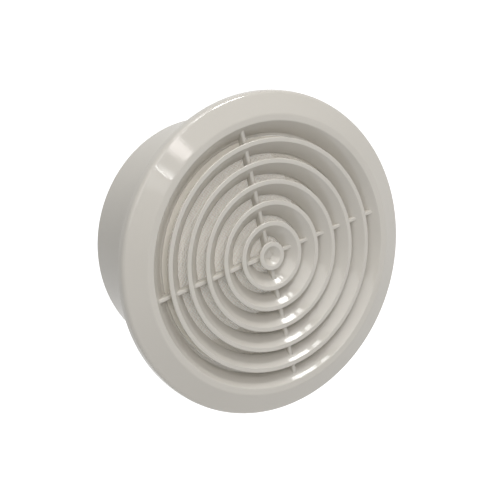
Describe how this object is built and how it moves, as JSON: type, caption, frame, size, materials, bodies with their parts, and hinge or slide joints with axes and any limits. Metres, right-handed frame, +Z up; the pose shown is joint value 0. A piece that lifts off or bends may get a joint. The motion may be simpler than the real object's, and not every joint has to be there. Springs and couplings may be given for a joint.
{
  "type": "round vent cover",
  "caption": "Round moulded vent cover: concentric louvred rings on radial spokes in a bevelled bezel, with a duct spigot behind and an insect screen across its throat.",
  "frame": {"origin": "on the cover's axis, in the plane of the wall that the bezel's rim rests on", "axes": "the face looks along -Y, the spigot runs back along +Y into the wall, +Z is up"},
  "size_m": [0.132, 0.0559, 0.132],
  "materials": {
    "cover": "satin off-white moulding",
    "screen": "fine off-white net"
  },
  "bodies": {
    "root": {"cover": "cover", "screen": "screen"}
  },
  "joints": []
}
